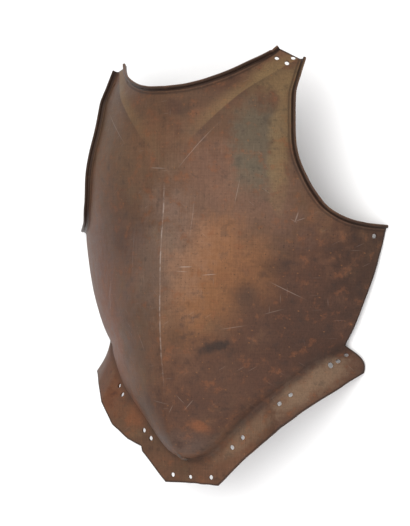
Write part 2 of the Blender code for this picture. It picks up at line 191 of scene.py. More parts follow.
#   across  level
ARM = (
    (1.000, -0.032),
    (0.800, -0.024),
    (0.600, 0.006),
    (0.420, 0.075),
    (0.290, 0.176),
    (0.200, 0.283),
    (0.132, 0.380),
    (0.084, 0.480),
    (0.050, 0.580),
    (0.026, 0.680),
    (0.010, 0.780),
    (0.002, 0.880),
    (0.000, 0.980),
)

#   across  rise
NECK = (
    (0.000, 0.000),
    (0.180, 0.022),
    (0.360, 0.095),
    (0.530, 0.235),
    (0.700, 0.440),
    (0.850, 0.705),
    (0.930, 0.885),
    (1.000, 1.055),
)

# Lacing holes in the shoulders and beside one arm: side, what the across share
# counts from, across, level, and how far the hole is worn long.
SKIN_HOLES = (
    (1, SHOULDER_HALF, 0.834, 0.980, 1.05),
    (1, SHOULDER_HALF, 0.953, 0.985, 1.05),
    (1, SHOULDER_HALF, 0.922, 0.950, 1.20),
    (1, HALF_WIDTH, 0.960, -0.064, 1.00),
    (-1, SHOULDER_HALF, 0.979, 0.885, 1.00),
)
# Lacing holes in the skirt: side, column share, way down the skirt, wear.
SKIRT_HOLES = (
    (1, 0.976, 0.205, 1.00),
    (1, 0.943, 0.265, 1.05),
    (1, 0.914, 0.280, 1.40),
    (1, 0.710, 0.365, 1.00),
    (1, 0.648, 0.370, 1.05),
    (1, 0.408, 0.405, 1.00),
    (1, 0.326, 0.370, 1.10),
    (1, 0.160, 0.770, 1.05),
    (-1, 0.012, 0.775, 0.85),
    (-1, 0.160, 0.770, 1.00),
    (-1, 0.358, 0.375, 1.05),
    (-1, 0.420, 0.405, 1.00),
    (-1, 0.629, 0.210, 1.10),
    (-1, 0.682, 0.180, 1.15),
)
HOLE_SIDES = 28
WORN_TURN = 1.3           # radians from the wear of one hole to that of the next
PUNCH_LENGTH = 8.0 * PLATE


def monotone(table, column):
    """Smooth curve through one column of a table, without overshoot."""
    xs = [row[0] for row in table]
    ys = [row[column] for row in table]
    gaps = [b - a for a, b in zip(xs, xs[1:])]
    slopes = [(b - a) / g for a, b, g in zip(ys, ys[1:], gaps)]
    ends = [slopes[0]]
    for left, right in zip(slopes, slopes[1:]):
        ends.append(0.0 if left * right <= 0.0 else 2.0 * left * right / (left + right))
    ends.append(slopes[-1])

    def value(x):
        k = 0
        while k < len(gaps) - 1 and x > xs[k + 1]:
            k += 1
        g = gaps[k]
        s = min(max((x - xs[k]) / g, 0.0), 1.0)
        a = ys[k] * (1 + 2 * s) * (1 - s) ** 2 + ends[k] * g * s * (1 - s) ** 2
        b = ys[k + 1] * s * s * (3 - 2 * s) + ends[k + 1] * g * s * s * (s - 1)
        return a + b
    return value


def lerp_table(table, x, column):
    """Straight interpolation, for outlines with real corners."""
    for low, high in zip(table, table[1:]):
        if x <= high[0]:
            s = (x - low[0]) / (high[0] - low[0])
            return low[column] + s * (high[column] - low[column])
    return table[-1][column]


def level(zone, share):
    """Y of a share of one zone, counted from the arm corners."""
    if zone == "belly":
        return -WAIST_DROP - share * (BELLY_DROP - WAIST_DROP)
    if zone == "flank":
        return -WAIST_DROP * share
    return SHOULDER_RISE * share


def section_rows():
    """The table of sections in metres, from the belly's tip up."""
    rows = []
    for zone, share, half, keel, edge, power, straight in SECTIONS:
        if zone == "belly":
            width = half * WAIST_HALF
        else:
            width = WAIST_HALF + half * (HALF_WIDTH - WAIST_HALF)
        rows.append((level(zone, share), width, keel * DEPTH, edge * DEPTH, power, straight))
    return rows


ROWS = section_rows()
WIDTH_AT, KEEL_AT, EDGE_AT, POWER_AT, STRAIGHT_AT = (monotone(ROWS, k) for k in range(1, 6))
GROOVE_LEVEL, GROOVE_HEIGHT, GROOVE_BROW = (monotone(GROOVE, k) for k in range(1, 4))
NECK_AT = monotone(NECK, 1)


def softened(distance):
    """Distance from a fold line, rounded over KEEL_SOFT and zero well inside it."""
    if distance > KEEL_SOFT:
        return distance
    if distance < -KEEL_SOFT:
        return 0.0
    return (distance + KEEL_SOFT) ** 2 / (4.0 * KEEL_SOFT)


# The hammer's work on the front: period and height of each kind of unevenness.
#   period  height
HAMMERED = (
    (0.062, 0.00042),
    (0.027, 0.00018),
    (0.012, 0.00006),
)


def hammer_marks(x, y):
    """Slow waves and shallow hammer marks left on the plate."""
    return sum(height * noise.noise(Vector((x / period, y / period, period * 100.0)))
               for period, height in HAMMERED)


def skin_height(x, y):
    """Height of the plate's front over a point of the table."""
    across = abs(x) / WIDTH_AT(y)
    keel = KEEL_AT(y)
    drop = keel - EDGE_AT(y)
    straight = STRAIGHT_AT(y)
    ridge = softened(abs(x)) / WIDTH_AT(y)
    height = keel - drop * ((1.0 - straight) * across ** POWER_AT(y) + straight * ridge)
    part = max(y - FOLD_LEVEL * SHOULDER_RISE, 0.0)
    if part > 0.0:
        swell = min(1.0, part / FOLD_RUN)
        swell = swell * swell * (3.0 - 2.0 * swell)
        height -= FOLD_SLOPE * softened(abs(x) - FOLD_SPREAD * part) * swell
    return height + hammer_marks(x, y)


def skin_point(x, y):
    return Vector((x, y, skin_height(x, y)))


def skin_normal(x, y):
    step = KEEL_SOFT / 7.0
    dx = (skin_height(x + step, y) - skin_height(x - step, y)) / (2.0 * step)
    dy = (skin_height(x, y + step) - skin_height(x, y - step)) / (2.0 * step)
    return Vector((-dx, -dy, 1.0)).normalized()


def arm_curve(count):
    """Points along the arm's edge, evenly spaced, from the arm corner up."""
    reach = HALF_WIDTH - SHOULDER_HALF
    knots = [Vector((SHOULDER_HALF + a * reach, b * SHOULDER_RISE)) for a, b in ARM]
    ends = [knots[1] - knots[0]]
    ends += [(c - a) / 2.0 for a, c in zip(knots, knots[2:])]
    ends.append(knots[-1] - knots[-2])
    curve = []
    for k in range(len(knots) - 1):
        for m in range(CURVE_STEPS):
            s = m / CURVE_STEPS
            h = (1 + 2 * s) * (1 - s) ** 2, s * (1 - s) ** 2, s * s * (3 - 2 * s), s * s * (s - 1)
            curve.append(knots[k] * h[0] + ends[k] * h[1] + knots[k + 1] * h[2] + ends[k + 1] * h[3])
    curve.append(knots[-1])
    lengths = [0.0]
    for a, b in zip(curve, curve[1:]):
        lengths.append(lengths[-1] + (b - a).length)
    out = []
    k = 0
    for n in range(count + 1):
        want = lengths[-1] * n / count
        while k < len(curve) - 2 and lengths[k + 1] < want:
            k += 1
        s = (want - lengths[k]) / (lengths[k + 1] - lengths[k])
        out.append(curve[k].lerp(curve[k + 1], s))
    return out


def brow_level(share):
    """Y of the brow, where the belly starts to turn under, at one column."""
    return level("belly", GROOVE_LEVEL(share)) + GROOVE_BROW(share) * SKIRT_LENGTH


def outer_edge():
    """The plate's outer edge, from the waist's end up to the shoulder's outer corner."""
    arm = arm_curve(ARM_ROWS)
    low = brow_level(1.0)
    edge = []
    for n in range(FLANK_ROWS):
        y = low + (arm[0].y - low) * n / FLANK_ROWS
        edge.append(Vector((WIDTH_AT(y), y)))
    return edge + arm


def top_point(share, shoulder, side):
    """Plan point of one column of a side on the neck's edge or the shoulder's end."""
    along = min(share / NECK_SHARE, 1.0)
    rise = NECK_AT(along) * (SHOULDER_RISE - NECK_RISE)
    neck = Vector((along * NECK_HALF - side * along * along * NECK_SWAY,
                   NECK_RISE + rise + side * along * along * NECK_TILT))
    if share <= NECK_SHARE:
        return neck
    along = (share - NECK_SHARE) / (1.0 - NECK_SHARE)
    return neck.lerp(shoulder, along)


def skin_grid(shares, side):
    """Plan points of one half, side 1 the right and -1 the left, counted outwards in X."""
    edge = outer_edge()
    brow = [brow_level(share) for share in shares]
    top = [top_point(share, edge[-1], side) for share in shares]
    rows = []
    for n, outer in enumerate(edge):
        if n <= FLANK_ROWS:
            v = CORNER_SHARE * n / FLANK_ROWS
        else:
            v = CORNER_SHARE + (1.0 - CORNER_SHARE) * (n - FLANK_ROWS) / ARM_ROWS
        ridge = brow[0] + (NECK_RISE - brow[0]) * v
        pull = v ** TOP_PULL
        row = []
        for k, share in enumerate(shares):
            low = brow[0] + share * (brow[-1] - brow[0])
            high = NECK_RISE + share * (edge[-1].y - NECK_RISE)
            x = share * outer.x + pull * (top[k].x - share * edge[-1].x)
            y = (ridge + share * (outer.y - ridge)
                 + (1.0 - v) * (brow[k] - low) + pull * (top[k].y - high))
            row.append((x, y))
        rows.append(row)
    return rows


def groove_point(share):
    return Vector((share * WAIST_HALF, level("belly", GROOVE_LEVEL(share)),
                   GROOVE_HEIGHT(share) * DEPTH))


def hem_rows():
    """The table of the hem in metres."""
    rows = []
    for share, across, below, height in HEM:
        groove = level("belly", GROOVE_LEVEL(min(across, 1.0)))
        rows.append((share, across * WAIST_HALF, groove - below * SKIRT_LENGTH, height * DEPTH))
    return rows


HEM_ROWS = hem_rows()
HEM_RAGGED = 0.00045      # how far the hem wanders from its line
HEM_PERIOD = 0.009


def hem_point(share, left):
    """Front of the hem at one column, a little ragged from wear."""
    point = Vector([lerp_table(HEM_ROWS, share, k) for k in (1, 2, 3)])
    if left:
        point.y += lerp_table(LEFT_HEM, share, 1) * SKIRT_LENGTH
    side = -1.0 if left else 1.0
    point.y += HEM_RAGGED * noise.noise(Vector((side * point.x / HEM_PERIOD, 0.5, 0.0)))
    return point


def skirt_point(share, down, left):
    """Front of the skirt at one column, from the groove (0) to the hem (1)."""
    point = groove_point(share).lerp(hem_point(share, left), down)
    bow = max(share - BOW_START, 0.0) / (1.0 - BOW_START)
    point.x += (LEFT_BOW if left else RIGHT_BOW) * bow * math.sin(math.pi * down)
    return point


def mirrored(point):
    return Vector((-point.x, point.y, point.z))


def skirt_points(brow, share, left):
    """Front points below the brow at one column: under the belly, groove, skirt."""
    groove = groove_point(share)
    normal = skin_normal(brow.x, brow.y)
    down = Vector((0.0, -1.0, 0.0))
    along = (down - normal * down.dot(normal)).normalized()
    turn = brow + along * ((groove - brow).length * UNDER_TURN)
    points = []
    for k in range(1, UNDER_STEPS + 1):
        s = UNDER_END * k / UNDER_STEPS
        points.append(brow * (1 - s) ** 2 + turn * (2 * s * (1 - s)) + groove * s ** 2)
    start = points[-1]
    stop = skirt_point(share, GROOVE_END, left)
    for k in range(1, GROOVE_STEPS + 1):
        s = k / GROOVE_STEPS
        points.append(start * (1 - s) ** 2 + groove * (2 * s * (1 - s)) + stop * s ** 2)
    for k in range(1, SKIRT_STEPS + 1):
        down = GROOVE_END + (1.0 - GROOVE_END) * k / SKIRT_STEPS
        points.append(skirt_point(share, down, left))
    if left:
        return [mirrored(point) for point in points]
    return points


def fine_shares():
    """The fine columns' across shares, centre line to outer edge."""
    shares = []
    for (low, count), (high, _) in zip(COLUMNS, COLUMNS[1:]):
        shares += [low + (high - low) * k / count for k in range(count)]
    return shares + [1.0]


def neck_lip(point):
    """How much of the rim's full height stands at one point of the neck."""
    s = max(abs(point.x) / NECK_HALF - NECK_FADE, 0.0) / (1.0 - NECK_FADE)
    return 1.0 - (1.0 - NECK_TIP) * s * s * (3.0 - 2.0 * s)


def arm_lip(point):
    """The rims at the arms stand at their full height all along."""
    return 1.0


def grow(bm, edges, steps, place):
    """Extrude a run of edges step by step, with place(vertex, step) for each new point."""
    for step in range(1, steps + 1):
        made = bmesh.ops.extrude_edge_only(bm, edges=edges)["geom"]
        fresh = {item for item in made if isinstance(item, bmesh.types.BMVert)}
        edges = [item for item in made if isinstance(item, bmesh.types.BMEdge)
                 and item.verts[0] in fresh and item.verts[1] in fresh]
        for vert in fresh:
            vert.co = place(vert, step)
    return edges


def run_edges(bm, verts):
    """The open edges that join points of one run."""
    inside = set(verts)
    return [edge for edge in bm.edges if edge.is_boundary
            and edge.verts[0] in inside and edge.verts[1] in inside]


def turn_rim(bm, run, near, lip, mark, rises):
    """Turn a rim up along a run of edge points; near holds the next points inwards."""
    frames = {}
    for k, vert in enumerate(run):
        here = vert.co.copy()
        before = run[max(k - 1, 0)].co
        after = run[min(k + 1, len(run) - 1)].co
        normal = skin_normal(here.x, here.y)
        out = (after - before).normalized().cross(normal).normalized()
        if out.dot(near[k].co - here) > 0.0:
            out = -out
        name = len(rises)
        rises.append(out * math.cos(LIP_TURN) + normal * math.sin(LIP_TURN))
        frames[name] = (here, normal, out, lip(here))
        vert[mark] = name

    def place(vert, step):
        here, normal, out, size = frames[vert[mark]]
        if step <= LIP_STEPS:
            angle = LIP_TURN * step / LIP_STEPS
            return (here + out * (size * LIP_BEND * math.sin(angle))
                    + normal * (size * LIP_BEND * (1.0 - math.cos(angle))))
        top = (here + out * (size * LIP_BEND * math.sin(LIP_TURN))
               + normal * (size * LIP_BEND * (1.0 - math.cos(LIP_TURN))))
        return top + rises[vert[mark]] * (size * LIP_RISE)

    return grow(bm, run_edges(bm, run), LIP_STEPS + 1, place)


def forge_front():
    """The front of the plate as one open sheet, and the edges that get a rolled bead."""
    shares = fine_shares()
    halves = {side: skin_grid(shares, side) for side in (-1, 1)}
    last = len(shares) - 1
    top = len(halves[1]) - 1
    bm = bmesh.new()
    mark = bm.verts.layers.int.new("run")
    bmesh.ops.create_grid(bm, x_segments=2 * last, y_segments=top, size=1.0)
    grid = {}
    for vert in bm.verts:
        column = round(vert.co.x * last)
        row = round((vert.co.y + 1.0) * top / 2.0)
        x, y = halves[-1 if column < 0 else 1][row][abs(column)]
        vert.co = skin_point(-x if column < 0 else x, y)
        grid[column, row] = vert
    below = {}
    brow = [grid[column, 0] for column in range(-last, last + 1)]
    for column, vert in zip(range(-last, last + 1), brow):
        half_brow = Vector((abs(vert.co.x), vert.co.y, vert.co.z))
        below[column] = skirt_points(half_brow, shares[abs(column)], column < 0)
        vert[mark] = column
    count = UNDER_STEPS + GROOVE_STEPS + SKIRT_STEPS
    grow(bm, run_edges(bm, brow), count, lambda vert, step: below[vert[mark]][step - 1])
    neck_last = shares.index(NECK_SHARE)
    rises = []
    columns = range(-neck_last, neck_last + 1)
    neck = [grid[k, top] for k in columns]
    roots = [[vert.co.copy() for vert in neck]]
    beads = turn_rim(bm, neck, [grid[k, top - 1] for k in columns], neck_lip, mark, rises)
    rows = range(FLANK_ROWS, top + 1)
    for side in (-1, 1):
        arm = [grid[side * last, k] for k in rows]
        roots.append([vert.co.copy() for vert in arm])
        beads += turn_rim(bm, arm, [grid[side * (last - 1), k] for k in rows], arm_lip,
                          mark, rises)
    return bm, mark, beads, rises, roots


def outward(vert):
    """The way off the sheet at one of its plain edges."""
    total = Vector((0.0, 0.0, 0.0))
    for edge in vert.link_edges:
        if edge.is_boundary:
            run = edge.verts[1].co - edge.verts[0].co
            face = edge.link_faces[0]
            way = run.cross(face.normal)
            if way.dot(face.calc_center_median() - edge.verts[0].co) > 0.0:
                way = -way
            total += way
    return (total - vert.normal * total.dot(vert.normal)).normalized()


def thicken(bm, mark, beads, rises):
    """Give the open sheet its back, rounded plain edges and rolled beads at the rims."""
    bmesh.ops.recalc_face_normals(bm, faces=bm.faces)
    middle = max(bm.faces, key=lambda face: face.calc_center_median().z)
    if middle.normal.z < 0.0:
        bmesh.ops.reverse_faces(bm, faces=bm.faces)
    bm.normal_update()
    open_edges = [edge for edge in bm.edges if edge.is_boundary]
    rolled = set(beads)
    plain = [edge for edge in open_edges if edge not in rolled]
    number = bm.verts.layers.int.new("number")
    starts = []
    for vert in {vert for edge in open_edges for vert in edge.verts}:
        vert[number] = len(starts)
        rise = rises[vert[mark]] if any(edge in rolled for edge in vert.link_edges) else None
        starts.append((vert.co.copy(), vert.normal.copy(), outward(vert), rise))
    normals = {vert: vert.normal.copy() for vert in bm.verts}
    sheet = list(bm.verts) + list(bm.edges) + list(bm.faces)
    copied = bmesh.ops.duplicate(bm, geom=sheet)
    for front, back in copied["vert_map"].items():
        if front in normals:
            back.co = front.co - normals[front] * PLATE
    back_faces = [item for item in copied["geom"] if isinstance(item, bmesh.types.BMFace)]
    for face in back_faces:
        face.material_index = 1
    bmesh.ops.reverse_faces(bm, faces=back_faces)

    def edge_round(vert, step):
        here, normal, out, _ = starts[vert[number]]
        angle = math.pi * step / ROUND_STEPS
        half = PLATE / 2.0
        swell = EDGE_SWELL * half * math.sin(angle)
        return here - normal * half + normal * (half * math.cos(angle)) + out * swell

    def bead_round(vert, step):
        here, normal, _, rise = starts[vert[number]]
        inner = math.asin(PLATE / 2.0 / ROLL_RADIUS)
        centre = here - normal * (PLATE / 2.0) + rise * (ROLL_RADIUS * math.cos(inner))
        angle = inner + (2.0 * math.pi - 2.0 * inner) * step / ROUND_STEPS
        return (centre - rise * (ROLL_RADIUS * math.cos(angle))
                + normal * (ROLL_RADIUS * math.sin(angle)))

    grow(bm, plain, ROUND_STEPS, edge_round)
    grow(bm, beads, ROUND_STEPS, bead_round)
    bmesh.ops.remove_doubles(bm, verts=bm.verts, dist=WELD)
    gaps = [edge for edge in bm.edges if edge.is_boundary]
    bmesh.ops.holes_fill(bm, edges=gaps, sides=0)
    bmesh.ops.recalc_face_normals(bm, faces=bm.faces)


def seat(bm):
    """Move the plate to its place in the frame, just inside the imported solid's box."""
    low = Vector([min(v.co[k] for v in bm.verts) for k in range(3)])
    high = Vector([max(v.co[k] for v in bm.verts) for k in range(3)])
    size = CAD_BOX[1] - CAD_BOX[0]
    fit = [min(1.0, size[k] / (high[k] - low[k])) for k in range(3)]
    shift = Vector((0.0, -(low.y + high.y) / 2.0, -low.z))
    place = Matrix.Diagonal((*fit, 1.0)) @ Matrix.Translation(shift)
    bm.transform(place)
    return place


def skin_hole(side, half, across, rise):
    x, y = side * across * half, rise * SHOULDER_RISE
    return skin_point(x, y), skin_normal(x, y)


def skirt_hole(side, share, down):
    step = 0.01
    here = skirt_point(share, down, side < 0)
    run = skirt_point(share + step, down, side < 0) - here
    fall = skirt_point(share, down + step, side < 0) - here
    normal = fall.cross(run).normalized()
    return (mirrored(here), mirrored(normal)) if side < 0 else (here, normal)


def hole_punches(place):
    """Round bars through the plate where it is pierced, some of them worn long."""
    spots = [(*skin_hole(*row[:4]), row[4]) for row in SKIN_HOLES]
    spots += [(*skirt_hole(*row[:3]), row[3]) for row in SKIRT_HOLES]
    bm = bmesh.new()
    for number, (centre, direction, worn) in enumerate(spots):
        turn = Matrix.Rotation(WORN_TURN * number, 4, "Z") @ Matrix.Diagonal((worn, 1.0, 1.0, 1.0))
        aim = Matrix.Translation(centre - direction * (PLATE / 2.0))
        aim = aim @ direction.to_track_quat("Z", "Y").to_matrix().to_4x4() @ turn
        bmesh.ops.create_cone(bm, cap_ends=True, segments=HOLE_SIDES, radius1=HOLE_RADIUS,
                              radius2=HOLE_RADIUS, depth=PUNCH_LENGTH, matrix=place @ aim)
    mesh = bpy.data.meshes.new("hole_punches")
    bm.to_mesh(mesh)
    bm.free()
    punches = bpy.data.objects.new("hole_punches", mesh)
    bpy.context.scene.collection.objects.link(punches)
    return punches


def pierce(plate, punches):
    """Cut the holes and keep the cut mesh as the plate's own."""
    cut = plate.modifiers.new("holes", "BOOLEAN")
    cut.operation = "DIFFERENCE"
    cut.solver = "EXACT"
    cut.object = punches
    ready = plate.evaluated_get(bpy.context.evaluated_depsgraph_get())
    mesh = bpy.data.meshes.new_from_object(ready)
    plate.modifiers.clear()
    plate.data = mesh
    bpy.data.objects.remove(punches, do_unlink=True)


def runs_of(edges):
    """Ends of each open edge."""
    return [[edge.verts[0].co.copy(), edge.verts[1].co.copy()] for edge in edges]


def near_lines(lines):
    """Search tree of points set closely along some lines."""
    points = []
    for line in lines:
        for here, there in zip(line, line[1:]):
            steps = max(1, round((there - here).length / LINE_STEP))
            points += [here.lerp(there, k / steps) for k in range(steps + 1)]
    tree = kdtree.KDTree(len(points))
    for k, point in enumerate(points):
        tree.insert(point, k)
    tree.balance()
    return tree


def note_distances(mesh, lines):
    """Keep each point's distance from the named lines as attributes for the finish."""
    for name, runs in lines.items():
        tree = near_lines(runs)
        gap = mesh.attributes.new(name, "FLOAT", "POINT")
        gap.data.foreach_set("value", [tree.find(vert.co)[2] for vert in mesh.vertices])


def groove_lines():
    """The groove under the belly, on both sides."""
    right = [groove_point(share) for share in fine_shares()]
    return [right, [mirrored(point) for point in right]]


def make_plate(finishes):
    """The whole plate, with its front's finish and its inside's."""
    bm, mark, beads, rises, roots = forge_front()
    rolled = set(beads)
    plain = [edge for edge in bm.edges if edge.is_boundary and edge not in rolled]
    lines = {
        "bead_gap": runs_of(beads),
        "edge_gap": runs_of(plain),
        "root_gap": roots,
        "groove_gap": groove_lines(),
    }
    thicken(bm, mark, beads, rises)
    place = seat(bm)
    lines = {name: [[place @ point for point in run] for run in runs]
             for name, runs in lines.items()}
    mesh = bpy.data.meshes.new("forged_plate")
    bm.to_mesh(mesh)
    bm.free()
    plate = bpy.data.objects.new("forged_plate", mesh)
    bpy.context.scene.collection.objects.link(plate)
    for finish in finishes:
        mesh.materials.append(finish)
    pierce(plate, hole_punches(place))
    for face in plate.data.polygons:
        face.use_smooth = True
    plate.data.set_sharp_from_angle(angle=SHARP_ANGLE)
    note_distances(plate.data, lines)
    return plate


class Amount:
    """A number that varies over the surface; arithmetic with it adds Math nodes."""

    def __init__(self, finish, socket):
        self.finish = finish
        self.socket = socket

    def __add__(self, other):
        return self.finish.maths("ADD", self, other)

    def __radd__(self, other):
        return self.finish.maths("ADD", other, self)

    def __sub__(self, other):
        return self.finish.maths("SUBTRACT", self, other)

    def __rsub__(self, other):
        return self.finish.maths("SUBTRACT", other, self)

    def __mul__(self, other):
        return self.finish.maths("MULTIPLY", self, other)

    def __rmul__(self, other):
        return self.finish.maths("MULTIPLY", other, self)

    def __abs__(self):
        return self.finish.maths("ABSOLUTE", self, 0.0)


class Finish:
    """A material, with one method that adds any node to it."""

    def __init__(self, name):
        self.material = bpy.data.materials.new(name)
        self.material.use_nodes = True
        self.tree = self.material.node_tree
        self.shader = self.tree.nodes["Principled BSDF"]
        self.place = self.node("ShaderNodeTexCoord", out="Object")

    def node(self, kind, settings=None, values=None, out=0):
        """Add a node, set it, fill or link its sockets, and hand back one output."""
        made = self.tree.nodes.new(kind)
        for name, setting in (settings or {}).items():
            setattr(made, name, setting)
        for name, value in (values or {}).items():
            if isinstance(value, Amount):
                self.tree.links.new(value.socket, made.inputs[name])
            else:
                made.inputs[name].default_value = value
        return Amount(self, made.outputs[out])

    def maths(self, operation, first, second):
        return self.node("ShaderNodeMath", {"operation": operation}, {0: first, 1: second})

    def ramp(self, amount, low, high):
        """0 where the amount is at low, 1 at high, smooth between."""
        return self.node("ShaderNodeMapRange", {"interpolation_type": "SMOOTHSTEP"},
                         {"Value": amount, "From Min": low, "From Max": high})

    def tint(self, below, above, amount, way="MIX"):
        """Mix two colours by an amount."""
        return self.node("ShaderNodeMix", {"data_type": "RGBA", "blend_type": way},
                         {0: amount, 6: below, 7: above}, out=2)

    def stretched(self, size, at=(0.0, 0.0, 0.0), turn=0.0):
        """Object coordinates counted in units of a size, from a place, turned in plan."""
        return self.node("ShaderNodeMapping", {"vector_type": "TEXTURE"},
                         {"Vector": self.place, "Location": at, "Rotation": (0.0, 0.0, turn),
                          "Scale": size})

    def cloud(self, size, detail=4.0, rough=0.55, at=(0.0, 0.0, 0.0), turn=0.0):
        """Noise with lumps of a size, 0 to 1."""
        return self.node("ShaderNodeTexNoise", None,
                         {"Vector": self.stretched(size, at, turn), "Scale": 1.0,
                          "Detail": detail, "Roughness": rough}, out="Fac")

    def dots(self, size, turn=0.0, at=(0.0, 0.0, 0.0)):
        """Distance from scattered points, and a random number for each of them."""
        where = self.stretched(size, at, turn)
        cells = {"voronoi_dimensions": "2D"}
        values = {"Vector": where, "Scale": 1.0, "Randomness": 1.0}
        distance = self.node("ShaderNodeTexVoronoi", cells, values, out="Distance")
        chance = self.node("ShaderNodeTexVoronoi", cells, values, out="Color")
        return distance, self.node("ShaderNodeSeparateColor", None, {0: chance})

    def gap(self, name):
        """Distance from one of the plate's lines."""
        return self.node("ShaderNodeAttribute", {"attribute_name": name}, out="Fac")

    def spot(self, at, half, turn, ragged, soft):
        """1 inside an oval on the plate, with its rim broken up by ragged."""
        inside = self.stretched((half[0], half[1], 10.0), (at[0], at[1], 0.0), turn)
        distance = self.node("ShaderNodeVectorMath", {"operation": "LENGTH"}, {0: inside},
                             out="Value")
        return self.ramp(distance + ragged, 1.0 + soft, 1.0 - soft)

    def lay(self, colour, rough, metal, relief):
        """Give the surface its colour, roughness, metal and relief in millimetres."""
        bump = self.node("ShaderNodeBump", None,
                         {"Strength": 1.0, "Distance": 0.001, "Height": relief}, out="Normal")
        looks = {"Base Color": colour, "Roughness": rough, "Metallic": metal, "Normal": bump}
        for name, amount in looks.items():
            self.tree.links.new(amount.socket, self.shader.inputs[name])


def tone(red, green, blue):
    """Linear colour of a tone given as it is seen, 0 to 255."""
    seen = [part / 255.0 for part in (red, green, blue)]
    linear = [part / 12.92 if part < 0.04 else ((part + 0.055) / 1.055) ** 2.4 for part in seen]
    return (*linear, 1.0)


BROWN = tone(87, 62, 47)
DULL_BROWN = tone(79, 58, 43)
WARM_BROWN = tone(94, 65, 48)
PINK_BROWN = tone(107, 81, 67)
PLUM_BROWN = tone(69, 47, 37)
OCHRE = tone(122, 81, 50)
RUST_ORANGE = tone(118, 72, 46)
DEEP_RUST = tone(92, 50, 26)
GREEN_GREY = tone(80, 74, 61)
OLIVE = tone(94, 75, 55)
GOLDEN = tone(110, 88, 60)
SOOT_AND_SHADE = tone(44, 35, 31)
BLUE_GREY = tone(82, 76, 72)
RIM_BLACK_AND_SHADE = tone(42, 31, 26)
BARE_IRON_AND_SHEEN = tone(158, 142, 132)
PALE_BROWN = tone(120, 98, 78)
TABLE_SHIFT = 0.0422      # from the level that the tables count from to the frame's
FOLD_LEAN = 0.72          # makes a distance across the plate one square to the fold

